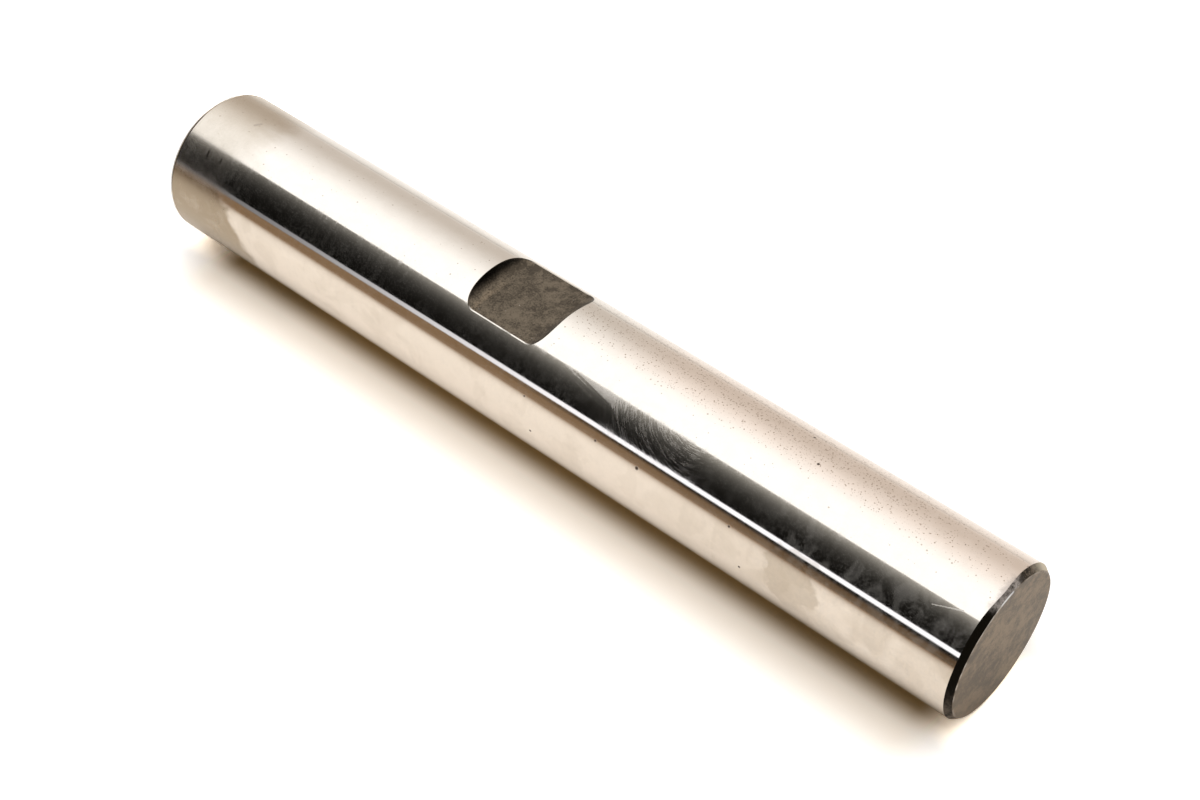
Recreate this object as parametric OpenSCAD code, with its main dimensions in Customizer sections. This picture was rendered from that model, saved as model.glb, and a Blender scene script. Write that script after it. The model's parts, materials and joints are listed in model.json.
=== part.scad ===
// King pin of a steering knuckle: one straight bar of ground steel, with a shallow notch
// milled across its side where a draw key locks it in the eye of the axle beam.
// The pin stands on its plain end. The origin is the centre of that end, +Z runs along the
// pin to its chamfered end, and the notch faces -Y. All sizes are in millimetres.

/* [Shank] */
// Ground diameter of the shank
shank_d = 25; // [20:0.5:40]
// Length over both ends
shank_l = 158; // [120:1:220]

/* [Ends] */
// Chamfer of the upper end, measured along the pin
top_chamfer_l = 1; // [0.4:0.1:4]
// Chamfer of the upper end, measured across the radius
top_chamfer_in = 0.75; // [0.3:0.05:3]
// Broken edge round the plain end, at 45 degrees
foot_break = 0.9; // [0.2:0.1:3]

/* [Draw key notch] */
// Height of the notch's middle above the plain end
notch_z = 70.8; // [50:0.2:95]
// Width of the notch along the pin, from wall to wall
notch_w = 15.8; // [10:0.2:24]
// Depth of the notch's floor below the ground surface
notch_depth = 2.4; // [1:0.1:4]
// Corner radius of the milling cutter, left at the foot of each wall
notch_corner_r = 2.5; // [0.5:0.1:4]

/* [Hidden] */
$fn = 128;
// How far a cutter runs past the surface that it cuts
overcut = 2;
shank_r = shank_d / 2;
// Distance of the notch's floor from the pin's axis
notch_floor = shank_r - notch_depth;

// The turned bar, from its half section
module shank() {
    rotate_extrude()
        polygon([
            [0, 0],
            [shank_r - foot_break, 0],
            [shank_r, foot_break],
            [shank_r, shank_l - top_chamfer_l],
            [shank_r - top_chamfer_in, shank_l],
            [0, shank_l]
        ]);
}

// The milling cutter seen along its travel: X is along the pin, Y is up from the notch's floor
module cutter_outline() {
    corner_x = notch_w / 2 - notch_corner_r;
    for (side = [-1, 1])
        translate([side * corner_x, notch_corner_r])
            circle(r = notch_corner_r);
    translate([-corner_x, 0])
        square([2 * corner_x, notch_corner_r]);
    translate([-notch_w / 2, notch_corner_r])
        square([notch_w, notch_depth + overcut]);
}

// What the cutter clears in one pass across the side of the pin
module notch_pass() {
    translate([0, -notch_floor, notch_z])
        rotate([0, -90, 180])
            linear_extrude(height = shank_d + 2 * overcut, center = true)
                cutter_outline();
}

module king_pin() {
    color("silver")
        difference() {
            shank();
            notch_pass();
        }
}

king_pin();
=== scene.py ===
"""King pin of a steering knuckle, with its finishes and the stage that it is shown on.

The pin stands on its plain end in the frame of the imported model: +Z runs up to its chamfered
end, and the notch for its draw key faces -Y. Lengths are in metres, and in millimetres within
the pin's finishes. An azimuth is an angle round the pin, from -Y toward +X.
"""

import json
import math
from functools import reduce
from operator import or_

import bpy
import numpy as np
from bpy.props import FloatProperty, FloatVectorProperty, PointerProperty
from mathutils import Matrix, Vector


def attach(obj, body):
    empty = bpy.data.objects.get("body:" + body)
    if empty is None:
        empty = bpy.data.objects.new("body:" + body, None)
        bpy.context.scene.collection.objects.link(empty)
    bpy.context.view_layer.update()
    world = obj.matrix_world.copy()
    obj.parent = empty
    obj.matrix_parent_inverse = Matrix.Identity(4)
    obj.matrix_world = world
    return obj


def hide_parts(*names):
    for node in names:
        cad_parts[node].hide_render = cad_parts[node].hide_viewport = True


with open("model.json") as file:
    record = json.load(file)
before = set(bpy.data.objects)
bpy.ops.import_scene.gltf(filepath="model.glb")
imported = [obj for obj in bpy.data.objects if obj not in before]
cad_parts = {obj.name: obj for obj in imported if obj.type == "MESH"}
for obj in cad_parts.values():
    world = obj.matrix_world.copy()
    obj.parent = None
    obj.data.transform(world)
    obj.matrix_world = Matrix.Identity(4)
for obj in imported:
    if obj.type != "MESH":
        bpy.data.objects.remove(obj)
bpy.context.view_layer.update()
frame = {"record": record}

bl_info = {
    "name": "King Pin",
    "version": (1, 0, 0),
    "blender": (4, 5, 0),
    "location": "View3D > Sidebar > King Pin",
    "description": "Builds a ground king pin with a draw key notch, and the stage that shows it",
    "category": "Add Mesh",
}

MM = 0.001
NODE = "king_pin"
BODY = "root"

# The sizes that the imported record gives
mounts = {mount["name"]: mount for mount in frame["record"]["mounts"]}
JOURNAL_RADIUS = mounts["journal"]["dims"]["r_mm"] * MM
PIN_LENGTH = mounts["top_face"]["pos_m"][2]
NOTCH_FLOOR = -mounts["draw_key_flat"]["pos_m"][1]
NOTCH_MIDDLE = mounts["draw_key_flat"]["pos_m"][2]

# The finishes in the order of the pin's material slots
GROUND, MILLED, WORN, BLACKENED, FACED = range(5)

# The finishes of an end's section, from the wall to the middle of the face
END_FINISHES = (GROUND, BLACKENED, FACED)

# How the pin's mesh is divided
NOTCH_SIDE_STEPS = 56
NOTCH_ACROSS_STEPS = 56
NOTCH_RING_STEPS = 12
NOTCH_RING_CROWDING = 1.6
NOTCH_WALL_SAMPLES = 4000
BURR_STEPS = 3
FRAME_HALF_ANGLE = math.radians(50.0)
FRAME_HALF_STEPS = 44
FRAME_MARGIN = 4.0 * MM
BACK_STEPS = 170
ROW_HEIGHT = 2.5 * MM
FACE_STEPS = 10
LEG_STEPS = 2
ROUND_STEPS = 4

# The chamfer's width is pinched on the notch's side and wanders: depth, waves and start of each wave
PINCH_AZIMUTH = math.radians(10.0)
PINCH_SPREAD = math.radians(16.0)
PINCH_DEPTH = 0.42
WANDER = ((0.05, 2.0, 0.6), (0.03, 5.0, 0.0))
CHAMFER_ROOM = 1.6

# Rust specks that stand alone on the ground wall: azimuth in degrees, height and radius in millimetres
SINGLE_SPECKS = (
    (-0.6, 125.0, 0.3),
    (-22.6, 121.0, 0.28),
    (68.4, 80.0, 0.2),
    (67.9, 94.0, 0.24),
    (68.6, 102.0, 0.36),
    (68.2, 119.0, 0.24),
    (94.4, 122.0, 0.25),
    (93.4, 82.0, 0.25),
)
SMALLEST_SPECK = 0.3

# Straight marks on the ground wall: two ends, each an azimuth and a height, and half a width
DENTS = (((2.5, 9.5), (-3.5, 10.2), 0.42),)
BRUISES = (((38.5, 6.3), (45.5, 6.7), 0.25), ((39.0, 9.4), (43.0, 9.6), 0.22))
CREASES = (((34.5, 82.5), (45.0, 95.5), 0.45), ((33.8, 85.5), (42.0, 94.0), 0.3))
SCRATCHES = (((40.0, 150.2), (33.2, 154.4), 0.13),)

# Hairlines are rubbed into the wall in arcs about a point, and beside them lies a dull patch
ARC_PLACE = (38.0, 108.5)
ARC_RADIUS = 7.0
HAIRLINE_PLACE = (39.0, 102.5)
PATCH_PLACE = (34.0, 83.0)

# Other places on the pin: azimuths in degrees, heights and radii in millimetres
PITTED_AZIMUTH = -20.0
BRIGHT_LINE_AZIMUTH = 58.0
FOOT_STAIN_AZIMUTH = 70.0
BLOB_PLACE = (78.0, 130.5)
SMEAR_AZIMUTH = 8.0
# Height of the painted highlight along the foot of the notch's lower wall
NOTCH_HIGHLIGHT_HEIGHT = 65.0
RUBBED_AZIMUTH = 7.0
BROWN_AZIMUTH = -45.0
RIM_AZIMUTH = 40.0
GLINT_AZIMUTH = 10.0
GLINT_RADIUS = 11.5

# How deep the grain of each finish is
GROUND_RELIEF = 0.8e-6
MILLED_RELIEF = 14e-6
TURNED_RELIEF = 8e-6

# Where the camera stood, and how it was turned
CAMERA_PLACE = Vector((0.1759, -0.2220, 0.2297))
CAMERA_FORWARD = Vector((-0.5516, 0.7001, -0.4534))
CAMERA_UP = Vector((-0.5170, -0.7135, -0.4728))
CAMERA_CLIP = 0.01
SENSOR_WIDTH = 36.0

# The board touches the pin's back, and stops short on the camera's side
BOARD_NEAR_EDGE = 0.165
BOARD_FAR_EDGE = -1.2
BOARD_HALF_HEIGHT = 0.9
FLOOR_REACH = 1.5

# Pairs of places between which a tone of the board or the floor fades in: painted shade beside the pin and
# where it touches, and painted light past the pin's ends and in front of its foot
ABOVE_FOOT = (-2.0 * MM, 10.5 * MM)
BELOW_TOP = (PIN_LENGTH + 4.0 * MM, PIN_LENGTH - 7.0 * MM)
BOARD_SHADED = (25.0 * MM, 12.0 * MM)
BOARD_COVERED = (12.0 * MM, 6.6 * MM)
BOARD_CREAM = (BOARD_NEAR_EDGE, 0.3 * BOARD_NEAR_EDGE)
BOARD_PALE = (-0.3, -0.03)
BOARD_NEAR_SIDE = (-3.0 * MM, 3.0 * MM)
FLOOR_PAINTED_LIGHT = (22.0 * MM, 13.0 * MM)
FLOOR_IN_FRONT = (18.0 * MM, 10.0 * MM)
FLOOR_BEHIND = (12.0 * MM, 40.0 * MM)
FLOOR_PAINTED_SHADOW = (12.0 * MM, 11.6 * MM)

# The lamp, and the cards that the pin mirrors: azimuths in degrees, the rest in metres
LAMP_DISTANCE = 0.45
LAMP_FROM = -18.0
LAMP_TO = 28.0
LAMP_LOW = -0.62
LAMP_HIGH = 0.42
CARD_DISTANCE = 0.6
CARD_LOW = -0.8
CARD_HIGH = 0.5
CARD_STEP = 2.0
BRIGHT_FROM = -100.0
ROOM_FROM = 28.4
ROOM_TO = 104.0
CEILING_RADIUS = 0.5
CEILING_HEIGHT = 0.5
CEILING_STEP = 10.0

# Pairs of azimuths between which a tone of the cards fades in, and how the room fades and leans
WALL_PALE = (-84.0, -94.0)
LAMP_WHITE = (-74.0, 2.0)
FADE_RATE = 0.118
FADE_END = (75.0, 70.0)
STRIP_START = (74.8, 75.4)
STRIP_END = (81.4, 80.8)
STRIP_LEAN = 3.5
TABLE_START = (81.0, 88.0)
TABLE_LEAN = 2.0
TABLE_FOOT = (80.5, 82.0)
BOARD_EDGE = (89.0, 99.0)

# Pairs of heights on the room card between which a tone fades in or out
FAINT_RISE = (-0.45, -0.2)
LEAN_FALL = (-0.2, -0.47)
STRIP_RISE = (-0.46, -0.16)
TABLE_RISE = (-0.25, 0.0)
TABLE_FALL = (0.0, -0.25)
FOOT_FALL = (-0.15, -0.3)


def measure(name, description, default):
    """A length that a user may change."""
    return FloatProperty(name=name, description=description, default=default, unit="LENGTH", precision=5)


def tint(name, description, default):
    """A colour that a user may change."""
    return FloatVectorProperty(
        name=name, description=description, default=default, subtype="COLOR", size=3, min=0.0, soft_max=1.0
    )


def gloss(name, description, default):
    """A number from 0 to 1 that a user may change."""
    return FloatProperty(
        name=name, description=description, default=default, min=0.0, max=1.0, subtype="FACTOR"
    )


def level(name, description, default):
    """A number above 0 that a user may change."""
    return FloatProperty(name=name, description=description, default=default, min=0.0)


class PinSizes(bpy.types.PropertyGroup):
    """Sizes of the pin"""

    radius: measure("Radius", "Radius of the ground shank", JOURNAL_RADIUS)
    length: measure("Length", "Length over both ends", PIN_LENGTH)
    chamfer_rise: measure("Chamfer rise", "Upper chamfer, measured along the pin", 1.0 * MM)
    chamfer_depth: measure("Chamfer depth", "Upper chamfer, measured across the radius", 0.75 * MM)
    foot_break: measure("Foot break", "Broken edge round the plain end", 0.9 * MM)
    edge_round: measure("Edge round", "Radius left on the turned edges", 0.12 * MM)
    notch_middle: measure("Notch height", "Height of the notch's middle", NOTCH_MIDDLE)
    notch_floor: measure("Notch floor", "Distance of the notch's floor from the axis", NOTCH_FLOOR)
    notch_width: measure("Notch width", "Width of the notch along the pin", 15.8 * MM)
    notch_corner: measure("Notch corner", "Radius at the foot of the notch's walls", 2.5 * MM)
    notch_burr: measure("Notch burr", "Width of the worn line round the notch", 0.09 * MM)


class PinFinishes(bpy.types.PropertyGroup):
    """Colours and gloss of the pin's surfaces"""

    steel: tint("Steel", "Bare ground steel", (0.665, 0.625, 0.575))
    # Dried oil, and also the colour of painted shade on the side by the board
    oil_and_shade: tint("Oil film", "Dried oil that dulls the steel", (0.33, 0.28, 0.215))
    rust: tint("Rust", "Pits and specks in the ground surface", (0.06, 0.038, 0.024))
    tarnish: tint("Tarnish", "Yellow-brown cast round the plain end", (0.375, 0.283, 0.167))
    bloom: tint("Rust bloom", "Fine rust that makes the pitted side sandy", (0.2, 0.138, 0.092))
    smear: tint("Smear", "Grey smear above the rubbed chamfer", (0.42, 0.375, 0.345))
    flush: tint("Flush", "Warm cast of the pitted side", (0.714, 0.625, 0.555))
    dust: tint("Dust", "Pale dust on the chamfer beyond the notch", (0.72, 0.62, 0.47))
    milled_light: tint("Milled, light", "Lighter grain of the milled notch", (0.165, 0.134, 0.098))
    milled_dark: tint("Milled, dark", "Darker grain of the milled notch", (0.055, 0.044, 0.032))
    # Black scale on the chamfer, and also painted shade high on the notch's walls
    black_scale_and_shade: tint("Black scale", "Blackened chamfer", (0.003, 0.0024, 0.0012))
    scale_brown: tint("Brown scale", "Rust on the blackened chamfer", (0.19, 0.148, 0.11))
    # Pale grain of the faced ends, and also a painted highlight along the foot of the notch's lower wall
    pale_grain_and_highlight: tint("Faced, light", "Lighter grain of the faced ends", (0.3, 0.229, 0.157))
    faced_dark: tint("Faced, dark", "Darker grain of the faced ends", (0.122, 0.091, 0.061))
    # Painted highlight on the rim of the upper face
    painted_glint: tint("Streak", "Bright streak on the upper face's rim", (0.9, 0.9, 0.92))
    ground_gloss: gloss("Ground roughness", "Roughness of the clean ground steel", 0.06)
    milled_gloss: gloss("Milled roughness", "Roughness of the milled notch", 0.48)
    faced_gloss: gloss("Faced roughness", "Roughness of the faced ends", 0.5)


class StageSettings(bpy.types.PropertyGroup):
    """Camera, light and surroundings"""

    lens: level("Lens", "Focal length in millimetres", 62.4)
    world_level: level("Room light", "Light from all round on matte surfaces", 0.6)
    lamp_level: level("Lamp light", "Brightness of the lamp's face", 1.75)
    board_matte: tint("Board", "Colour of the board and the floor", (0.9, 0.9, 0.9))
    board_seen: tint("Board, seen", "Colour where it is looked at", (1.25, 1.25, 1.25))
    # Painted shade: a darker, warmer colour where the pin's shadow falls on the board
    painted_shade_beside_pin: tint("Board, warm", "Colour beside the pin", (1.02, 0.92, 0.8))
    # Painted shadow: dark brown where the pin touches the board, and a ring on the floor under the foot's
    # broken edge
    painted_contact_shadow: tint("Board, touched", "Colour where the pin touches it", (0.38, 0.243, 0.1))
    # Painted light: brighter colours past the pin's ends, which wash out its shadow there
    painted_light_past_ends: tint("Board, clear", "Colour past the pin's ends", (1.3, 1.3, 1.3))
    painted_light_in_shade: tint("Board, lifted", "Colour past the ends in the pin's shade", (3.4, 3.0, 2.5))
    board_cream: tint("Board, mirrored", "Colour in the steel", (1.13, 1.03, 0.92))
    board_pale: tint("Board, pale", "Colour of the far side by the pin, in the steel", (1.04, 1.0, 0.95))
    board_grey: tint("Board, far", "Colour of the far side in the steel", (0.92, 0.87, 0.82))
    floor_seen: tint("Floor, seen", "Colour where it is looked at", (2.4, 2.36, 2.3))
    # Painted light: a brighter floor in front of the foot, which washes out the pin's contact shadow
    floor_painted_light: tint("Floor, contact", "Colour close to the pin", (4.2, 4.05, 3.8))
    floor_back: tint("Floor, back", "Colour behind the board", (1.6, 1.57, 1.52))
    wall_grey: tint("Wall card", "Grey end of the bright card", (0.86, 0.785, 0.715))
    wall_pale: tint("Wall card, pale", "Pale edge of the bright card", (1.05, 1.0, 0.94))
    card_black: tint("Black card", "Card beside the camera", (0.005, 0.0046, 0.004))
    room_glow: tint("Room glow", "Faint light on the black card", (1.0, 0.97, 0.9))
    table_brown: tint("Table card", "Wood beyond the board's edge", (0.33, 0.213, 0.122))
    strip_white: tint("Light strip", "Thin light beyond the black card", (1.66, 1.7, 1.85))


class Field:
    """A node's output, with arithmetic that adds Math nodes."""

    def __init__(self, tree, socket):
        self.tree = tree
        self.socket = socket

    def math(self, operation, other=0.0):
        """A Math node that takes this value first."""
        return self.tree.node("ShaderNodeMath", {"operation": operation}, {0: self, 1: other})

    def __add__(self, other):
        return self.math("ADD", other)

    __radd__ = __add__

    def __sub__(self, other):
        return self.math("SUBTRACT", other)

    def __rsub__(self, other):
        return self.tree.node("ShaderNodeMath", {"operation": "SUBTRACT"}, {0: other, 1: self})

    def __mul__(self, other):
        return self.math("MULTIPLY", other)

    __rmul__ = __mul__

    def __lt__(self, other):
        return self.math("LESS_THAN", other)

    def __or__(self, other):
        return self.math("MAXIMUM", other)

    def __abs__(self):
        return self.math("ABSOLUTE")


class NodeTree:
    """The nodes of one material or of the world."""

    def __init__(self, owner):
        owner.use_nodes = True
        self.owner = owner
        self.nodes = owner.node_tree.nodes
        self.links = owner.node_tree.links
        self.nodes.clear()

    def node(self, kind, settings, inputs, output=0):
        """Adds a node, fills its sockets and returns one output, or a list for a tuple of names."""
        made = self.nodes.new(kind)
        for name, value in settings.items():
            setattr(made, name, value)
        for name, value in inputs.items():
            if isinstance(value, Field):
                self.links.new(value.socket, made.inputs[name])
            else:
                made.inputs[name].default_value = value
        if isinstance(output, tuple):
            return [Field(self, made.outputs[name]) for name in output]
        if not made.outputs:
            return None
        return Field(self, made.outputs[output])

    def object_place(self):
        """The place on the object, in metres."""
        return self.node("ShaderNodeTexCoord", {}, {}, "Object")

    def point(self, x, y, z=0.0):
        """A place made of its coordinates."""
        return self.node("ShaderNodeCombineXYZ", {}, {0: x, 1: y, 2: z})

    def split(self, place):
        """The three coordinates of a place."""
        return self.node("ShaderNodeSeparateXYZ", {}, {0: place}, ("X", "Y", "Z"))

    def length(self, place):
        """How far a place lies from the origin."""
        return self.node("ShaderNodeVectorMath", {"operation": "LENGTH"}, {0: place}, "Value")

    def stretch(self, place, factors):
        """A place with each of its axes scaled."""
        return self.node("ShaderNodeVectorMath", {"operation": "MULTIPLY"}, {0: place, 1: factors})

    def mix(self, share, first, second):
        """A colour between two colours."""
        sockets = {0: share, 6: rgba(first), 7: rgba(second)}
        return self.node("ShaderNodeMix", {"data_type": "RGBA"}, sockets, 2)

    def layers(self, colour, *coats):
        """A colour under coats, each a share and a colour."""
        for share, coat in coats:
            colour = self.mix(share, colour, coat)
        return colour

    def step(self, value, low, high):
        """A smooth step from 0 at low to 1 at high, which may lie below it."""
        settings = {"interpolation_type": "SMOOTHSTEP"}
        return self.node("ShaderNodeMapRange", settings, {"Value": value, "From Min": low, "From Max": high})

    def noise(self, place, size, detail=2.0, distortion=0.0):
        """Cloudy noise about 0.5, with features of the given size."""
        sockets = {"Vector": place, "Scale": 1.0 / size, "Detail": detail, "Distortion": distortion}
        return self.node("ShaderNodeTexNoise", {}, sockets)

    def bump(self, depth, height):
        """A normal that follows a height, with its depth in metres."""
        return self.node("ShaderNodeBump", {}, {"Strength": 1.0, "Distance": depth, "Height": height})

    def principled(self, settings):
        """Ends a material with one principled surface."""
        return self.end_with(self.node("ShaderNodeBsdfPrincipled", {}, settings))

    def glow(self, colour):
        """Ends a material with a plain light."""
        return self.end_with(self.node("ShaderNodeEmission", {}, {"Color": rgba(colour), "Strength": 1.0}))

    def end_with(self, surface):
        """Ends a material with a surface."""
        self.node("ShaderNodeOutputMaterial", {}, {"Surface": surface})
        return self.owner


def rgba(colour):
    """A colour for a socket: a field, or three numbers with an alpha of 1."""
    if isinstance(colour, Field):
        return colour
    return tuple(colour)[:3] + (1.0,)


def new_tree(name):
    """The empty nodes of a new material."""
    return NodeTree(bpy.data.materials.new(name))


def arc(degrees):
    """Arc length in millimetres on the ground wall at an azimuth in degrees."""
    return math.radians(degrees) * JOURNAL_RADIUS / MM


def sway(noise, reach):
    """A noise about 0, which shifts the edge of a mark to and fro."""
    return (noise - 0.5) * reach


class PinSurface(NodeTree):
    """A finish of the pin, with places in millimetres, also by arc length round it and height."""

    def __init__(self, name):
        super().__init__(bpy.data.materials.new(name))
        self.place = self.stretch(self.object_place(), (1.0 / MM,) * 3)
        self.x, self.y, self.height = self.split(self.place)
        self.along = self.x.math("ARCTAN2", 0.0 - self.y) * (JOURNAL_RADIUS / MM)

    def texture(self, size, detail=2.0, distortion=0.0, stretch=(1.0, 1.0, 1.0)):
        """Cloudy noise about 0.5, drawn out along the axes whose stretch is below 1."""
        return self.noise(self.stretch(self.place, stretch), size, detail, distortion)

    def rise(self, low, high, shift=0.0):
        """A step from 0 to 1 between two heights."""
        return self.step(self.height + shift, low, high)

    def turn(self, low, high):
        """A step from 0 to 1 between two azimuths in degrees."""
        return self.step(self.along, arc(low), arc(high))

    def near(self, azimuth, outer, inner):
        """1 near an azimuth, falling to 0 between two angles from it, in degrees."""
        return self.step(abs(self.along - arc(azimuth)), arc(outer), arc(inner))

    def offset(self, azimuth, level):
        """How far round the pin and up it a point lies from a place."""
        return self.along - arc(azimuth), self.height - level

    def specks(self, spacing, reach, share):
        """Round specks with radii up to reach, in a share of cells of the given spacing."""
        sockets = {"Vector": self.place, "Scale": 1.0 / spacing}
        distance, lots = self.node("ShaderNodeTexVoronoi", {}, sockets, ("Distance", "Color"))
        lot, size = self.node("ShaderNodeSeparateColor", {}, {0: lots}, ("Red", "Green"))
        radius = (size * size * (1.0 - SMALLEST_SPECK) + SMALLEST_SPECK) * (reach / spacing)
        return self.step(distance, radius, radius * 0.5) * (lot < share)

    def spot(self, azimuth, level, radius):
        """One round speck."""
        distance = self.length(self.point(*self.offset(azimuth, level)))
        return self.step(distance, radius, 0.5 * radius)

    def stroke(self, start, end, width):
        """A straight mark between two places, each an azimuth in degrees and a height."""
        way = Vector((arc(end[0] - start[0]), end[1] - start[1]))
        reach = way.length
        way.normalize()
        from_start, rise = self.offset(*start)
        along = from_start * way.x + rise * way.y
        across = abs(from_start * -way.y + rise * way.x)
        begun = self.step(along, -0.5 * width, 0.5 * width)
        ended = self.step(along, reach + 0.5 * width, reach - 0.5 * width)
        return self.step(across, width, 0.3 * width) * begun * ended

    def strokes(self, marks):
        """All the straight marks of a list."""
        return reduce(or_, [self.stroke(*mark) for mark in marks])


class GroundWall(PinSurface):
    """The ground wall of the pin, with the noises and the places that its marks share."""

    def __init__(self, name):
        super().__init__(name)
        self.cloud = self.texture(size=14.0, detail=3.0)
        self.smoke = self.texture(size=3.2, detail=3.0, stretch=(1.0, 1.0, 0.6))
        self.stains = self.texture(size=1.7, detail=4.0, distortion=0.4, stretch=(1.0, 1.0, 0.7))
        self.brush = self.texture(size=0.7, detail=3.0, stretch=(0.3, 0.3, 1.0))
        self.grain = self.texture(size=0.22)
        self.lines = self.texture(size=0.1, stretch=(0.2, 0.2, 1.0))
        self.haze = self.step(self.smoke * 0.5 + self.cloud * 0.5, 0.36, 0.66)
        self.pitted_side = self.near(PITTED_AZIMUTH, outer=36.0, inner=18.0)
        self.foot = self.rise(19.0, 9.0, sway(self.smoke, 10.0))
        self.upper = self.rise(122.0, 128.0, sway(self.smoke, 8.0))

    def pits(self):
        """Fine rust, densest on the notch's side toward the chamfered end, and rust specks."""
        lit_side = self.turn(34.0, 24.0)
        pitted = self.pitted_side * self.rise(60.0, 104.0) * (self.rise(154.0, 134.0) * 0.7 + 0.3)
        clustered = self.step(self.cloud, 0.3, 0.6) * 0.5 + 0.35
        sandy = self.specks(0.34, 0.2, (pitted * 0.95 + 0.03) * lit_side)
        fine = self.specks(0.46, 0.15, (pitted * clustered + 0.03) * lit_side)
        coarse = self.specks(1.5, 0.21, (pitted * 0.4 + 0.06) * (lit_side * 0.9 + 0.1))
        single = reduce(or_, [self.spot(*speck) for speck in SINGLE_SPECKS])
        bloom = sandy * 0.55 | fine * 0.85
        rust = coarse * 0.7 | self.strokes(DENTS) * 0.2 | single
        return bloom, rust

    def rubs(self):
        """Hairlines rubbed into the wall above the notch, and the dull patch beside them."""
        ahead, aside = self.offset(*ARC_PLACE)
        ahead = ahead + ARC_RADIUS
        distance = self.length(self.point(aside, ahead))
        swing = aside.math("ARCTAN2", ahead) * ARC_RADIUS
        hair = self.noise(self.point(distance, swing * 0.09, self.smoke * 0.4), 0.14)
        ahead, aside = self.offset(*HAIRLINE_PLACE)
        hairlines = self.step(hair, 0.45, 0.6) * self.turn(31.0, 36.0)
        hairlines = hairlines * self.step(abs(aside), 12.5, 6.0) * self.step(abs(ahead), 5.0, 2.2)
        ahead, aside = self.offset(*PATCH_PLACE)
        patch = self.step(aside - ahead * 2.4 + sway(self.smoke, 3.0), 0.0, 3.0)
        patch = patch * self.rise(98.0, 92.0, sway(self.cloud, 8.0))
        patch = patch * self.turn(47.0, 38.0) * self.turn(32.0, 36.0) * (1.0 - self.strokes(CREASES))
        return hairlines, patch

    def dried_oil(self):
        """Dried oil, with painted shade on the side by the board that deepens toward the chamfered end, and
        where the oil is thick.
        """
        oily_side = self.turn(58.0, 66.0)
        border = self.height - (self.along - arc(FOOT_STAIN_AZIMUTH)) * 0.9 + sway(self.smoke, 7.0)
        thick = self.step(border, 15.0, 12.5) * oily_side
        blotches = self.step(self.texture(size=9.0, detail=3.0, distortion=0.6), 0.5, 0.63)
        blotches = blotches * (oily_side | self.turn(-80.0, -95.0))
        oil_and_shade = thick * (self.smoke * 0.5 + self.stains * 0.5 + 0.5)
        oil_and_shade = oil_and_shade | self.foot * 0.4 | blotches * (self.upper * 0.12 + 0.12)
        # Painted shade, not oil: the side by the board is darkened, more toward the chamfered end
        under = self.turn(99.0, 118.0) * self.rise(60.0, 150.0)
        oil_and_shade = oil_and_shade | self.blob() * 0.33 | under * (self.upper * 0.2 + 0.7)
        mottled = self.step(self.stains, 0.42, 0.7)
        puddles = self.step(self.texture(size=7.0, detail=4.0, distortion=0.7), 0.53, 0.57)
        puddles = puddles * self.turn(66.0, 72.0)
        return oil_and_shade + mottled * 0.05 + self.tan() + puddles * 0.08, thick

    def blob(self):
        """One dried puddle with a ragged edge."""
        ahead, aside = self.offset(*BLOB_PLACE)
        reach = self.length(self.point(aside * 0.2, ahead * 0.19))
        return self.step(reach + sway(self.stains, 1.3) + sway(self.smoke, 1.1), 1.02, 0.82)

    def tan(self):
        """The darker oil toward the chamfered end, with a clean gap in it."""
        drift = sway(self.smoke, 9.0) + sway(self.stains, 3.0)
        clean = self.rise(134.5, 135.5, drift) * self.rise(149.5, 148.0, drift)
        tan = self.rise(116.6, 117.1, sway(self.stains, 0.8)) * self.turn(66.0, 71.0)
        return tan * (0.13 - clean * 0.12)

    def colour(self, finishes, oil_and_shade, bloom, rust):
        """The steel's colour under its oil, rust and painted shade."""
        fringe = self.rise(156.3, 157.3, sway(self.stains, 1.8) + sway(self.grain, 0.7))
        fringe = fringe * self.near(SMEAR_AZIMUTH, outer=22.0, inner=10.0)
        return self.layers(
            finishes.steel,
            (self.pitted_side * self.rise(78.0, 104.0), finishes.flush),
            (oil_and_shade, finishes.oil_and_shade),
            (self.foot * self.turn(28.0, -26.0) * 0.45, finishes.tarnish),
            (fringe * 0.8, finishes.smear),
            (bloom, finishes.bloom),
            (rust | self.strokes(BRUISES) * 0.8, finishes.rust),
        )

    def scuffs(self):
        """Roughness that the grinding and the oil add."""
        grit = self.texture(size=0.12, stretch=(0.3, 0.3, 1.0))
        scuffs = self.step(grit, 0.46, 0.76) * 0.12 + self.step(self.brush, 0.42, 0.72) * 0.08
        scuffs = scuffs * (1.0 - self.near(BRIGHT_LINE_AZIMUTH, outer=13.0, inner=6.0) * 0.75)
        scuffs = scuffs * (self.haze * 0.6 + 0.4) * (1.0 - self.foot * 0.7)
        return scuffs + self.lines * 0.05 + self.foot * (self.smoke * 0.06 + 0.1)

    def veil(self):
        """Dirt that greys the darkest reflections."""
        above = self.rise(76.0, 88.0)
        soot = self.step(self.texture(size=0.42, detail=3.0), 0.46, 0.6)
        dirt = self.texture(size=2.4, detail=4.0, distortion=0.6, stretch=(0.7, 0.7, 1.0))
        veil = soot * 0.6 + self.step(self.brush, 0.46, 0.6) * (0.4 - above * 0.2)
        veil = veil * (self.haze * 0.8 + 0.2)
        veil = veil + self.step(dirt, 0.44, 0.64) * (above * 0.2 + self.upper * 0.5 + 0.15)
        return veil * (self.foot * 0.032 + self.upper * 0.046 + 0.036)


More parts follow.
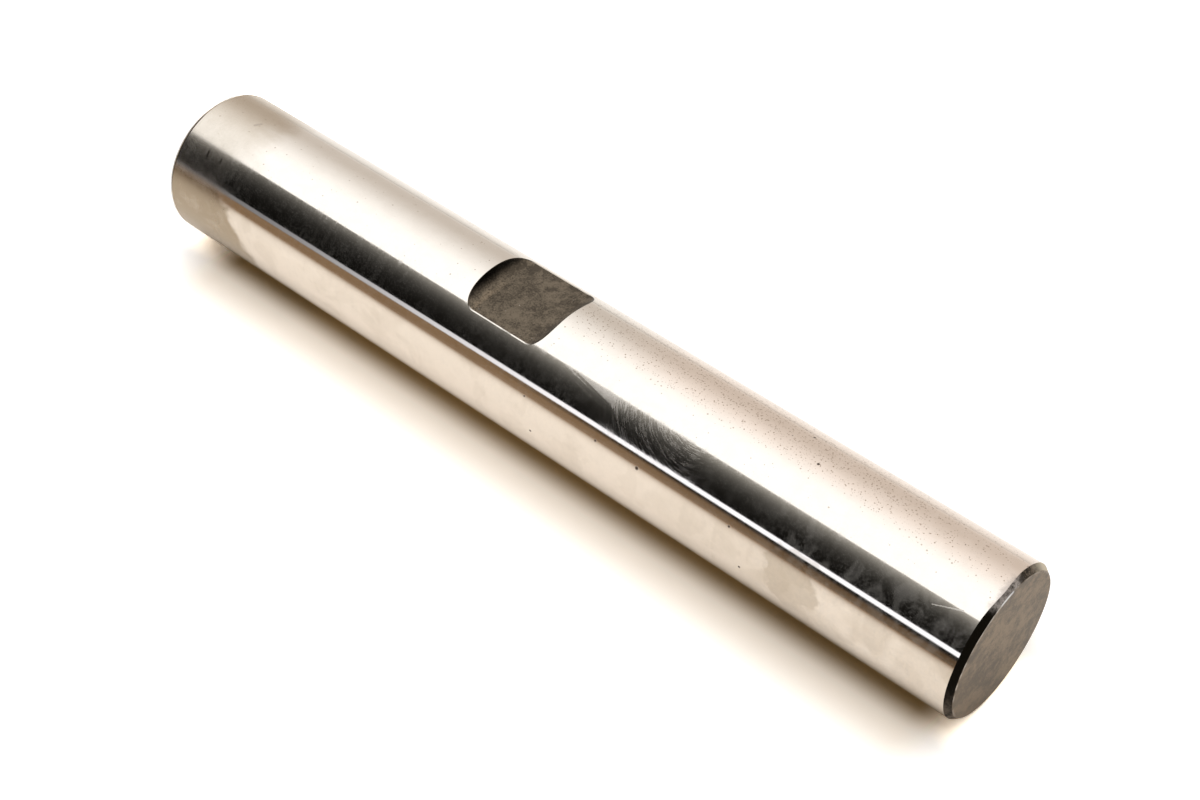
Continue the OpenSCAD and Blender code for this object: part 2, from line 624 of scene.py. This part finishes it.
def ground_steel(finishes):
    """Ground steel with fine lines, rust specks, hairlines, dried oil and painted shade on the side by the
    board.
    """
    wall = GroundWall("ground_steel")
    bloom, rust = wall.pits()
    hairlines, patch = wall.rubs()
    oil_and_shade, thick = wall.dried_oil()
    roughness = wall.scuffs() + (finishes.ground_gloss - 0.03) + hairlines * 0.2 + patch * 0.25
    roughness = roughness + thick * 0.1 + wall.strokes(SCRATCHES) * 0.35 + rust * 0.3
    veil = wall.veil() + hairlines * 0.014 + patch * 0.01 + wall.foot * 0.01
    relief = wall.lines * 0.5 + wall.grain * 0.6 - rust * 3.0 + hairlines * 1.2
    return wall.principled(
        {
            "Base Color": wall.colour(finishes, oil_and_shade, bloom, rust),
            "Metallic": 1.0 - rust * 0.6 - veil,
            "Roughness": roughness,
            "Normal": wall.bump(GROUND_RELIEF, relief),
        }
    )


def milled_notch(finishes):
    """The notch as the cutter left it: matte, mottled, with bright nicks; with painted shade high on its
    walls and a painted highlight at its lower wall's foot.
    """
    notch = PinSurface("milled_notch")
    mottle = notch.texture(size=1.2, detail=5.0, distortion=0.3)
    blotch = notch.texture(size=3.0)
    grain = notch.texture(size=0.25, detail=3.0)
    cutter_lines = notch.texture(size=0.5, detail=3.0, stretch=(0.12, 1.0, 1.0))
    tone = notch.step(mottle * 0.32 + blotch * 0.2 + grain * 0.4 + cutter_lines * 0.08, 0.38, 0.62)
    near_corner = notch.step(notch.x, 4.0, 6.0) * notch.rise(71.5, 75.0)
    nicks = notch.specks(0.8, 0.2, near_corner * 0.5 + notch.step(blotch, 0.5, 0.62) * 0.25)
    dull = notch.step(notch.texture(size=1.6, detail=3.0, distortion=0.5), 0.48, 0.6)
    dull = dull * notch.step(notch.x, 1.0, -6.0)
    # Painted highlight: a lighter strip along the rounded foot of the lower wall
    strip = notch.step(abs(notch.height - NOTCH_HIGHLIGHT_HEIGHT + sway(mottle, 2.0)), 0.7, 0.1)
    strip = strip * notch.step(notch.x, -3.0, 4.0) * notch.step(mottle * 0.5 + grain * 0.5, 0.36, 0.6)
    flecks = notch.specks(0.7, 0.2, notch.step(mottle, 0.45, 0.6) * 0.4)
    # Painted shade, not scale: the notch's walls darken toward their top edges
    above_floor = 0.0 - notch.y - NOTCH_FLOOR / MM
    scale = notch.step(above_floor + sway(mottle, 0.5), 0.5, 1.7)
    colour = notch.layers(
        finishes.milled_dark,
        (tone, finishes.milled_light),
        (dull * 0.75, finishes.milled_dark),
        (strip * 0.45 | flecks * 0.4, finishes.pale_grain_and_highlight),
        (scale * 0.9, finishes.black_scale_and_shade),
        (nicks * 0.65, finishes.steel),
    )
    return notch.principled(
        {
            "Base Color": colour,
            "Metallic": 0.92,
            "Roughness": tone * 0.12 + (finishes.milled_gloss - 0.06),
            "Normal": notch.bump(MILLED_RELIEF, mottle + grain * 0.5 + cutter_lines * 0.5),
        }
    )


def worn_edge(finishes):
    """The thin bright line that handling leaves on the notch's edge."""
    edge = PinSurface("worn_edge")
    straight = edge.step(abs(edge.height - NOTCH_MIDDLE / MM), 6.6, 5.2)
    wear = edge.step(edge.texture(size=2.0, detail=3.0), 0.15, 0.5) * straight
    return edge.principled(
        {
            "Base Color": edge.mix(wear, finishes.milled_dark, finishes.steel),
            "Metallic": 1.0,
            "Roughness": 0.42 - wear * 0.2,
        }
    )


def blackened_chamfer(finishes):
    """Black scale on the turned edges, brown in places and rubbed at one."""
    edge = PinSurface("blackened_chamfer")
    mottle = edge.texture(size=1.6, detail=4.0, distortion=0.3)
    grain = edge.texture(size=0.3)
    brown_sides = edge.near(BROWN_AZIMUTH, outer=76.0, inner=48.0) | edge.near(0.0, 76.0, 130.0) * 0.8
    brown = (edge.step(mottle * 0.7 + grain * 0.3, 0.38, 0.62) * 0.85 + 0.15) * brown_sides | 0.01
    rubbed = edge.near(RUBBED_AZIMUTH, outer=21.0, inner=9.0)
    rubbed = rubbed * edge.step(mottle * 0.6 + grain * 0.4, 0.28, 0.72)
    dusty = edge.turn(-22.0, -46.0) * 0.8
    coats = ((brown, finishes.scale_brown), (dusty, finishes.dust), (rubbed, finishes.smear))
    colour = edge.layers(finishes.black_scale_and_shade, *coats)
    return edge.principled(
        {
            "Base Color": colour,
            "Metallic": rubbed * 0.3,
            "Roughness": 0.6 - rubbed * 0.15,
            "Specular IOR Level": 0.02,
            "Normal": edge.bump(TURNED_RELIEF, mottle + grain * 0.3),
        }
    )


def faced_end(finishes, sizes):
    """Dull faced ends with faint rings, a bright rim and a painted highlight on the rim on the lamp's side.
    """
    face = PinSurface("faced_end")
    from_axis = face.length(face.point(face.x, face.y))
    mottle = face.texture(size=1.5, detail=5.0)
    patches = face.texture(size=5.0)
    grain = face.texture(size=0.3, detail=3.0)
    rings = face.noise(face.point(from_axis, 0.0), 0.22, 1.0)
    tone = face.step(mottle * 0.36 + patches * 0.3 + grain * 0.28 + rings * 0.06, 0.4, 0.61)
    lower = face.step(face.x + face.y, 2.0, 16.0)
    dark = face.specks(1.1, 0.2, 0.4)
    face_radius = (sizes.radius - sizes.chamfer_depth) / MM
    rim = face.step(from_axis, face_radius - 0.3, face_radius - 0.1) * face.step(mottle, 0.4, 0.6)
    rim = rim * (face.near(RIM_AZIMUTH, outer=62.0, inner=40.0) * 0.6 + 0.25)
    # Painted highlight: a near-white streak on the rim, on the lamp's side
    painted_glint = face.near(GLINT_AZIMUTH, outer=8.0, inner=6.0)
    painted_glint = painted_glint * face.step(from_axis, GLINT_RADIUS, GLINT_RADIUS + 0.15)
    colour = face.layers(
        finishes.faced_dark,
        (tone, finishes.pale_grain_and_highlight),
        (lower * 0.35, finishes.faced_dark),
        (dark * 0.5, finishes.rust),
        (rim * 0.7, finishes.steel),
        (painted_glint * 0.7, finishes.painted_glint),
    )
    return face.principled(
        {
            "Base Color": colour,
            "Metallic": rim * 0.4 + 0.5,
            "Roughness": tone * 0.1 + (finishes.faced_gloss - rim * 0.15),
            "Normal": face.bump(TURNED_RELIEF, mottle * 0.6 + grain * 0.5 + rings * 0.5 - dark),
        }
    )


def new_object(name, data):
    """Adds an object to the scene."""
    made = bpy.data.objects.new(name, data)
    bpy.context.scene.collection.objects.link(made)
    return made


def mesh_object(name, points, faces, materials):
    """Adds an object with a mesh to the scene."""
    mesh = bpy.data.meshes.new(name)
    mesh.from_pydata(points, [], faces)
    for material in materials:
        mesh.materials.append(material)
    return new_object(name, mesh)


class SheetMesh:
    """A mesh of sheets of points that share their borders."""

    grid = 1e-7

    def __init__(self):
        self.points = []
        self.index = {}
        self.faces = []
        self.normals = []
        self.finishes = []

    def corner(self, point):
        """The number of a point, shared by all on the same spot."""
        key = tuple(np.round(point / self.grid).astype(int))
        if key not in self.index:
            self.index[key] = len(self.points)
            self.points.append(tuple(point))
        return self.index[key]

    def add_sheet(self, points, normals, finish):
        """Adds a grid of points, with the normals to match."""
        rows, columns = points.shape[:2]
        numbers = [[self.corner(points[i, j]) for j in range(columns)] for i in range(rows)]
        for i in range(rows - 1):
            for j in range(columns - 1):
                places = [(i, j), (i + 1, j), (i + 1, j + 1), (i, j + 1)]
                self.add_face(places, points, normals, numbers, finish)

    def add_face(self, places, points, normals, numbers, finish):
        """Adds one face of a sheet, without the corners that fall together, turned to its normals."""
        kept = []
        for place in places:
            if all(numbers[place[0]][place[1]] != numbers[other[0]][other[1]] for other in kept):
                kept.append(place)
        if len(kept) < 3:
            return
        first, second, last = (points[kept[k]] for k in (0, 1, -1))
        facing = np.cross(second - first, last - first)
        if np.dot(facing, sum(normals[place] for place in kept)) < 0:
            kept.reverse()
        self.faces.append([numbers[i][j] for i, j in kept])
        self.normals.extend(tuple(normals[place]) for place in kept)
        self.finishes.append(finish)

    def build(self, name, materials):
        """Makes an object of the sheets."""
        made = mesh_object(name, self.points, self.faces, materials)
        mesh = made.data
        mesh.polygons.foreach_set("material_index", self.finishes)
        mesh.polygons.foreach_set("use_smooth", [True] * len(self.faces))
        mesh.normals_split_custom_set(self.normals)
        mesh.update()
        if mesh.validate():
            raise RuntimeError("the mesh of " + name + " has faces that can't be kept")
        return made


def unit(vectors):
    """Vectors brought to a length of 1."""
    return vectors / np.linalg.norm(vectors, axis=-1, keepdims=True)


def shares(steps):
    """Shares from 0 to 1, one for each row of a sheet."""
    return np.linspace(0.0, 1.0, steps + 1)[:, None, None]


def joined(*coordinates):
    """Points made of coordinates, which are numbers or arrays."""
    return np.stack(np.broadcast_arrays(*coordinates), axis=-1)


def round_points(radius, azimuth, height):
    """Points at a distance from the axis, by azimuth in radians and height."""
    return joined(radius * np.sin(azimuth), -radius * np.cos(azimuth), height)


def rounding(start, corner, end, steps):
    """Rows of points on curves that cut a corner, from start to end."""
    share = shares(steps)
    return start * (1 - share) ** 2 + corner * 2 * share * (1 - share) + end * share**2


def even_steps(curve, count):
    """Fractional indices that divide a sampled curve's length evenly."""
    steps = np.linalg.norm(np.diff(curve, axis=0), axis=1)
    travelled = np.concatenate([[0.0], np.cumsum(steps)])
    return np.interp(np.linspace(0.0, travelled[-1], count + 1), travelled, np.arange(len(curve)))


class NotchForm:
    """The notch's floor and rounded walls, within a cylinder of any radius about the axis."""

    def __init__(self, sizes):
        self.middle = sizes.notch_middle
        self.floor = sizes.notch_floor
        self.corner = sizes.notch_corner
        self.flat_half = sizes.notch_width / 2 - sizes.notch_corner

    def wall(self, radius, count):
        """Turns of one wall's rounding, at even steps from its edge to the floor."""
        top_turn = math.acos(1.0 - min((radius - self.floor) / self.corner, 1.0))
        turn = np.linspace(top_turn, 0.0, NOTCH_WALL_SAMPLES)
        depth = self.floor + self.corner * (1.0 - np.cos(turn))
        azimuth = np.arccos(np.clip(depth / radius, -1.0, 1.0))
        curve = round_points(radius, azimuth, self.corner * np.sin(turn))
        return np.interp(even_steps(curve, count), np.arange(len(turn)), turn)

    def profile(self, radius, wall_count):
        """Section of the notch from its lower end: heights, distances and normals."""
        turn = self.wall(radius, wall_count)
        flat = np.linspace(-self.flat_half, self.flat_half, NOTCH_SIDE_STEPS + 1)[1:-1]
        offset = self.flat_half + self.corner * np.sin(turn)
        height = np.concatenate([-offset, flat, offset[::-1]])
        distance = self.floor + self.corner * (1.0 - np.cos(turn))
        distance = np.concatenate([distance, np.full(len(flat), self.floor), distance[::-1]])
        lean = np.concatenate([np.sin(turn), np.zeros(len(flat)), -np.sin(turn[::-1])])
        rise = np.concatenate([np.cos(turn), np.ones(len(flat)), np.cos(turn[::-1])])
        return self.middle + height, distance, joined(0.0, -rise, lean)

    def inside(self, radius, wall_count):
        """The notch's own surface, and the normal of each of its rows."""
        height, distance, normals = self.profile(radius, wall_count)
        half = np.sqrt(np.maximum(radius**2 - distance**2, 0.0))
        across = half[:, None] * np.linspace(-1.0, 1.0, NOTCH_ACROSS_STEPS + 1)
        return joined(across, -distance[:, None], height[:, None]), normals

    def outline(self, radius, wall_count):
        """The notch's edge on a cylinder: arc lengths and heights."""
        height, distance = self.profile(radius, wall_count)[:2]
        azimuth = np.arccos(np.clip(distance / radius, -1.0, 1.0))
        return joined(azimuth * radius, height)


def away_from_notch(edge):
    """The directions that lead away from the notch at each point of its edge."""
    tangent = unit(np.gradient(edge, axis=0))
    outward = joined(tangent[:, 1], -tangent[:, 0])
    outward[0] = (0.0, -1.0)
    outward[-1] = (0.0, 1.0)
    return outward


def frame_border(azimuth, low, high):
    """The frame round half of the notch, from its lower end: azimuths and heights."""
    beside = np.linspace(low, high, NOTCH_SIDE_STEPS + 1)[1:-1]
    return np.concatenate([joined(azimuth, low), joined(azimuth[-1], beside), joined(azimuth[::-1], high)])


def notch_sheets(pin, sizes, frame_azimuth, frame_low, frame_high):
    """The notch, its worn edge, and the ground wall out to a straight frame."""
    form = NotchForm(sizes)
    wall_count = len(frame_azimuth) - 1
    inner, normals = form.inside(sizes.radius - sizes.notch_burr, wall_count)
    pin.add_sheet(inner, np.broadcast_to(normals[:, None, :], inner.shape), MILLED)
    edge = form.outline(sizes.radius, wall_count)
    outer = edge + away_from_notch(edge) * sizes.notch_burr
    border = frame_border(frame_azimuth, frame_low, frame_high) * (sizes.radius, 1.0)
    for side in (-1.0, 1.0):
        blend = shares(NOTCH_RING_STEPS) ** NOTCH_RING_CROWDING
        flat = outer[None] * (1.0 - blend) + border[None] * blend
        azimuth = side * flat[..., 0] / sizes.radius
        surface = round_points(sizes.radius, azimuth, flat[..., 1])
        pin.add_sheet(surface, round_points(1.0, azimuth, 0.0), GROUND)

        sharp = round_points(sizes.radius, side * edge[:, 0] / sizes.radius, edge[:, 1])
        lip = inner[:, -1] if side > 0 else inner[:, 0]
        share = shares(BURR_STEPS)
        turned = unit(round_points(1.0, azimuth[0], 0.0) * (1.0 - share) + normals * share)
        pin.add_sheet(rounding(surface[0], sharp, lip, BURR_STEPS), turned, WORN)


def chamfer_share(azimuth):
    """How wide the chamfer is round the pin."""
    pinch = np.exp(-(((azimuth - PINCH_AZIMUTH) / PINCH_SPREAD) ** 2))
    wander = sum(depth * np.sin(waves * azimuth + start) for depth, waves, start in WANDER)
    return 1.0 - PINCH_DEPTH * pinch + wander


def rounded_corner(first, corner, last, radius):
    """A corner of a turned section, cut back and rounded."""
    back = unit(first - corner)
    ahead = unit(last - corner)
    half = 0.5 * np.arccos(np.clip((back * ahead).sum(-1, keepdims=True), -1.0, 1.0))
    setback = radius / np.tan(half)
    return rounding(corner + back * setback, corner, corner + ahead * setback, ROUND_STEPS)


def turned_end(pin, azimuth, corners, radius, facing):
    """Turns the legs of an end's section round the axis, with its corners rounded.

    corners lists the section's points from the wall to the middle of the face, each a radius and
    a height, which may differ by azimuth. facing is 1 for the upper end and -1 for the lower one.
    """
    sections = [joined(*corner, azimuth)[:, :2] for corner in corners]
    legs = [unit(end - start) for start, end in zip(sections, sections[1:])]
    normals = [joined(leg[:, 1], -leg[:, 0]) * facing for leg in legs]
    start = sections[0]
    for number in range(len(legs) - 1):
        corner = rounded_corner(*sections[number : number + 3], radius)
        add_leg(pin, azimuth, start, corner[0], normals[number], END_FINISHES[number], LEG_STEPS)
        share = shares(ROUND_STEPS)
        turned = unit(normals[number] * (1.0 - share) + normals[number + 1] * share)
        add_turned(pin, azimuth, corner, turned, END_FINISHES[number + 1])
        start = corner[-1]
    add_leg(pin, azimuth, start, sections[-1], normals[-1], END_FINISHES[-1], FACE_STEPS)


def add_leg(pin, azimuth, start, end, normal, finish, steps):
    """Adds one straight leg of an end's section, turned round the axis."""
    rows = shares(steps)
    leg = start * (1.0 - rows) + end * rows
    add_turned(pin, azimuth, leg, np.broadcast_to(normal, leg.shape), finish)


def add_turned(pin, azimuth, section, normals, finish):
    """Adds a sheet turned round the axis from rows of radius and height."""
    points = round_points(section[..., 0], azimuth, section[..., 1])
    outward = round_points(normals[..., 0], azimuth, normals[..., 1])
    pin.add_sheet(points, outward, finish)


def add_wall(pin, radius, azimuth, heights):
    """Adds a stretch of the ground wall."""
    azimuth, heights = np.meshgrid(azimuth, heights)
    pin.add_sheet(round_points(radius, azimuth, heights), round_points(1.0, azimuth, 0.0), GROUND)


def wall_rows(low, high):
    """Heights of the ground wall's rows from one level to another."""
    return np.linspace(low, high, round((high - low) / ROW_HEIGHT) + 1)


def build_pin_mesh(sizes, materials):
    """The pin as one closed mesh: wall, notch, chamfered end and plain end."""
    pin = SheetMesh()
    frame_azimuth = np.linspace(0.0, FRAME_HALF_ANGLE, FRAME_HALF_STEPS + 1)
    back = np.linspace(FRAME_HALF_ANGLE, 2 * math.pi - FRAME_HALF_ANGLE, BACK_STEPS + 1)
    ring = np.concatenate([-frame_azimuth[::-1], frame_azimuth[1:], back[1:]])
    ring[-1] = ring[0]
    frame_low = sizes.notch_middle - sizes.notch_width / 2 - FRAME_MARGIN
    frame_high = sizes.notch_middle + sizes.notch_width / 2 + FRAME_MARGIN
    notch_sheets(pin, sizes, frame_azimuth, frame_low, frame_high)

    wall_low = sizes.foot_break + sizes.edge_round
    wall_high = sizes.length - CHAMFER_ROOM * sizes.chamfer_rise
    add_wall(pin, sizes.radius, back, np.linspace(frame_low, frame_high, NOTCH_SIDE_STEPS + 1))
    add_wall(pin, sizes.radius, ring, wall_rows(wall_low, frame_low))
    add_wall(pin, sizes.radius, ring, wall_rows(frame_high, wall_high))

    share = chamfer_share(ring)
    top = [
        (sizes.radius, wall_high),
        (sizes.radius, sizes.length - sizes.chamfer_rise * share),
        (sizes.radius - sizes.chamfer_depth * share, sizes.length),
        (0.0, sizes.length),
    ]
    turned_end(pin, ring, top, sizes.edge_round, 1.0)
    edge = sizes.foot_break
    foot = [(sizes.radius, wall_low), (sizes.radius, edge), (sizes.radius - edge, 0.0), (0.0, 0.0)]
    turned_end(pin, ring, foot, sizes.edge_round, -1.0)
    return pin.build("ground_pin", materials)


class KINGPIN_OT_build_pin(bpy.types.Operator):
    """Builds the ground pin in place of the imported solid"""

    bl_idname = "king_pin.build_pin"
    bl_label = "Build pin"

    def execute(self, context):
        sizes = context.scene.king_pin_sizes
        finishes = context.scene.king_pin_finishes
        materials = [
            ground_steel(finishes),
            milled_notch(finishes),
            worn_edge(finishes),
            blackened_chamfer(finishes),
            faced_end(finishes, sizes),
        ]
        pin = build_pin_mesh(sizes, materials)
        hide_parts(NODE)
        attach(pin, BODY)
        return {"FINISHED"}


def ray_shares(tree):
    """1 for rays from the camera, and 1 for rays that a mirror or glass turns."""
    names = ("Is Camera Ray", "Is Glossy Ray", "Is Transmission Ray")
    camera, glossy, glass = tree.node("ShaderNodeLightPath", {}, {}, names)
    return camera, glossy | glass


def end_with_front(tree, colour):
    """Ends a material with a matte front, and a back that can't be seen."""
    front = tree.node("ShaderNodeBsdfDiffuse", {}, {"Color": colour})
    back = tree.node("ShaderNodeBsdfTransparent", {}, {})
    behind = tree.node("ShaderNodeNewGeometry", {}, {}, "Backfacing")
    return tree.end_with(tree.node("ShaderNodeMixShader", {}, {0: behind, 1: front, 2: back}))


def board_material(stage):
    """Pale card: white to the eye and cream in the steel, with painted shade, darker and warm, beside the
    pin, a painted contact shadow where it touches, and painted light past the pin's ends.
    """
    tree = new_tree("board")
    x, _, z = tree.split(tree.object_place())
    beside = tree.step(z, *ABOVE_FOOT) * tree.step(z, *BELOW_TOP)
    covered = tree.step(abs(x), *BOARD_COVERED)
    # Painted shadow: dark brown along the line where the pin touches the board, to the eye and in the steel
    contact_shadow_share = covered * beside
    # Painted shade: darker and warmer beside the pin, which deepens its real shadow
    seen = tree.mix(tree.step(abs(x), *BOARD_SHADED), stage.board_seen, stage.painted_shade_beside_pin)
    seen = tree.mix(contact_shadow_share, seen, stage.painted_contact_shadow)
    # Painted light past the pin's ends, brightest where the pin's shadow would fall
    seen = tree.mix(beside, tree.mix(covered, stage.painted_light_past_ends, stage.painted_light_in_shade), seen)
    near = tree.mix(tree.step(x, *BOARD_CREAM), stage.table_brown, stage.board_cream)
    near = tree.mix(contact_shadow_share, near, stage.painted_contact_shadow)
    far = tree.mix(tree.step(x, *BOARD_PALE), stage.board_grey, stage.board_pale)
    mirrored = tree.mix(tree.step(x, *BOARD_NEAR_SIDE), far, near)
    camera, turned = ray_shares(tree)
    colour = tree.mix(turned, stage.board_matte, mirrored)
    return end_with_front(tree, tree.mix(camera, colour, seen))


def floor_material(stage):
    """Pale card that shows white and keeps the pin's shadow, with painted light in front of the foot that
    washes out its contact shadow, and a painted shadow ring under the foot's broken edge.
    """
    tree = new_tree("floor")
    place = tree.object_place()
    distance = tree.length(place)
    y = tree.split(place)[1]
    # Painted light in front of the foot, which washes out its contact shadow
    contact = tree.step(distance, *FLOOR_PAINTED_LIGHT) * tree.step(y, *FLOOR_IN_FRONT)
    seen = tree.layers(
        stage.floor_seen,
        (tree.step(y, *FLOOR_BEHIND), stage.floor_back),
        (contact, stage.floor_painted_light),
        # Painted shadow: a dark ring under the broken edge of the foot
        (tree.step(distance, *FLOOR_PAINTED_SHADOW), stage.painted_contact_shadow),
    )
    camera, turned = ray_shares(tree)
    return end_with_front(tree, tree.mix(camera | turned, stage.board_matte, seen))


def stage_mesh(name, points, faces, material):
    """Adds a piece of the surroundings."""
    made = mesh_object(name, points, faces, [material])
    return made


def mirror_only(card):
    """Lets a card show in reflections alone."""
    card.active_material.cycles.emission_sampling = "NONE"
    card.visible_camera = False
    card.visible_diffuse = False
    card.visible_shadow = False


def add_card(name, start, end, material):
    """Stands a curved card round the pin between two azimuths."""
    steps = max(1, round((end - start) / CARD_STEP))
    turns = np.radians(np.linspace(start, end, steps + 1))
    low = round_points(CARD_DISTANCE, turns, CARD_LOW)
    high = round_points(CARD_DISTANCE, turns, CARD_HIGH)
    points = np.concatenate([low, high]).tolist()
    count = steps + 1
    faces = [(i, i + 1, i + 1 + count, i + count) for i in range(steps)]
    mirror_only(stage_mesh(name, points, faces, material))


def card_place(tree):
    """Azimuth in degrees and height of a point on a card."""
    x, y, z = tree.split(tree.object_place())
    return x.math("ARCTAN2", 0.0 - y) * math.degrees(1.0), z


def bright_material(stage):
    """The far wall, which brightens toward the lamp."""
    tree = new_tree("bright_card")
    azimuth = card_place(tree)[0]
    grey = tree.mix(tree.step(azimuth, *WALL_PALE), stage.wall_grey, stage.wall_pale)
    white = (stage.lamp_level,) * 3
    return tree.glow(tree.mix(tree.step(azimuth, *LAMP_WHITE), grey, white))


def room_material(stage):
    """The dark room beside the camera, with a thin light and the table beyond it."""
    tree = new_tree("room_card")
    azimuth, height = card_place(tree)
    fading = ((azimuth - ROOM_FROM) * -FADE_RATE).math("EXPONENT")
    faint = fading * (tree.step(height, *FAINT_RISE) * 0.27 + 0.31)
    leaning = azimuth - tree.step(height, *LEAN_FALL) * STRIP_LEAN
    strip = tree.step(leaning, *STRIP_START) * tree.step(leaning, *STRIP_END)
    strip = strip * (tree.step(height, *STRIP_RISE) * 0.84 + 0.16)
    table = tree.step(leaning - tree.step(height, *TABLE_RISE) * TABLE_LEAN, *TABLE_START)
    table = table * (tree.step(height, *TABLE_FALL) * 0.5 + 0.5)
    table = table | tree.step(leaning, *TABLE_FOOT) * tree.step(height, *FOOT_FALL)
    colour = tree.layers(
        stage.card_black,
        (faint * tree.step(leaning, *FADE_END), stage.room_glow),
        (table, stage.table_brown),
        (tree.step(leaning, *BOARD_EDGE) * 0.1, stage.board_cream),
        (strip, stage.strip_white),
    )
    return tree.glow(colour)


def add_ceiling(stage):
    """A dark card over the pin, which its chamfer mirrors."""
    turns = np.radians(np.arange(0.0, 360.0, CEILING_STEP))
    points = round_points(CEILING_RADIUS, turns, CEILING_HEIGHT).tolist()
    material = new_tree("ceiling_card").glow(stage.card_black)
    mirror_only(stage_mesh("ceiling_card", points, [tuple(range(len(points)))], material))


def add_cards(stage):
    """Glowing cards, seen only in reflections, that stand for the surroundings which the ground steel
    mirrors.
    """
    add_card("bright_card", BRIGHT_FROM, ROOM_FROM, bright_material(stage))
    add_card("room_card", ROOM_FROM, ROOM_TO, room_material(stage))
    add_ceiling(stage)


def add_lamp(stage):
    """A tall soft lamp in front of the notch. The bright card stands for it in reflections."""
    middle = math.radians((LAMP_FROM + LAMP_TO) / 2)
    spread = math.radians((LAMP_TO - LAMP_FROM) / 2)
    light = bpy.data.lights.new("soft_lamp", "AREA")
    light.shape = "RECTANGLE"
    light.size = 2 * LAMP_DISTANCE * math.tan(spread)
    light.size_y = LAMP_HIGH - LAMP_LOW
    light.energy = stage.lamp_level * math.pi * light.size * light.size_y
    lamp = new_object("soft_lamp", light)
    lamp.location = round_points(LAMP_DISTANCE, middle, (LAMP_LOW + LAMP_HIGH) / 2).tolist()
    lamp.rotation_euler = (math.radians(90.0), 0.0, middle)
    lamp.visible_camera = False
    lamp.visible_glossy = False


def add_board_and_floor(stage):
    """The pale board behind the pin, and the pale floor under it."""
    back = JOURNAL_RADIUS
    tall = BOARD_HALF_HEIGHT
    board_points = [
        (BOARD_FAR_EDGE, back, -tall),
        (BOARD_NEAR_EDGE, back, -tall),
        (BOARD_NEAR_EDGE, back, tall),
        (BOARD_FAR_EDGE, back, tall),
    ]
    stage_mesh("board", board_points, [(0, 1, 2, 3)], board_material(stage))
    reach = FLOOR_REACH
    floor_points = [(-reach, -reach, 0.0), (reach, -reach, 0.0), (reach, reach, 0.0), (-reach, reach, 0.0)]
    floor = stage_mesh("floor", floor_points, [(0, 1, 2, 3)], floor_material(stage))
    floor.visible_glossy = False
    floor.visible_shadow = False


def light_world(stage):
    """A white room, which lights matte surfaces at a plain level."""
    world = bpy.data.worlds.new("room")
    bpy.context.scene.world = world
    tree = NodeTree(world)
    camera, turned = ray_shares(tree)
    strength = (camera | turned) * (1.0 - stage.world_level) + stage.world_level
    room = tree.node("ShaderNodeBackground", {}, {"Color": (1.0, 1.0, 1.0, 1.0), "Strength": strength})
    tree.node("ShaderNodeOutputWorld", {}, {"Surface": room})


def set_camera(stage):
    """The camera at the place and turn from which the pin was seen."""
    lens = bpy.data.cameras.new("camera")
    lens.sensor_fit = "HORIZONTAL"
    lens.sensor_width = SENSOR_WIDTH
    lens.lens = stage.lens
    lens.clip_start = CAMERA_CLIP
    camera = new_object("camera", lens)
    forward = CAMERA_FORWARD.normalized()
    right = forward.cross(CAMERA_UP).normalized()
    up = right.cross(forward)
    turn = Matrix((right, up, -forward)).transposed()
    camera.matrix_world = Matrix.Translation(CAMERA_PLACE) @ turn.to_4x4()
    bpy.context.scene.camera = camera


class KINGPIN_OT_set_stage(bpy.types.Operator):
    """Sets the camera, the light, the board and the floor"""

    bl_idname = "king_pin.set_stage"
    bl_label = "Set stage"

    def execute(self, context):
        stage = context.scene.king_pin_stage
        context.scene.view_settings.view_transform = "Standard"
        set_camera(stage)
        light_world(stage)
        add_lamp(stage)
        add_cards(stage)
        add_board_and_floor(stage)
        return {"FINISHED"}


class KINGPIN_PT_panel(bpy.types.Panel):
    """Lists the steps that build the pin"""

    bl_idname = "KINGPIN_PT_panel"
    bl_label = "King Pin"
    bl_space_type = "VIEW_3D"
    bl_region_type = "UI"
    bl_category = "King Pin"

    def draw(self, context):
        for operator in OPERATORS:
            self.layout.operator(operator.bl_idname)
        for name in SETTINGS:
            group = getattr(context.scene, name)
            box = self.layout.box()
            for key in group.__annotations__:
                box.prop(group, key)


OPERATORS = (KINGPIN_OT_build_pin, KINGPIN_OT_set_stage)
SETTINGS = {
    "king_pin_sizes": PinSizes,
    "king_pin_finishes": PinFinishes,
    "king_pin_stage": StageSettings,
}
CLASSES = tuple(SETTINGS.values()) + OPERATORS + (KINGPIN_PT_panel,)


def register():
    """Registers the classes, and hangs their settings on the scene."""
    for one in CLASSES:
        bpy.utils.register_class(one)
    for name, group in SETTINGS.items():
        setattr(bpy.types.Scene, name, PointerProperty(type=group))


def unregister():
    """Takes back what register did."""
    for name in SETTINGS:
        delattr(bpy.types.Scene, name)
    for one in reversed(CLASSES):
        bpy.utils.unregister_class(one)


def main():
    """Builds the pin and its stage."""
    register()
    bpy.ops.king_pin.build_pin()
    bpy.ops.king_pin.set_stage()


if __name__ == "__main__":
    main()
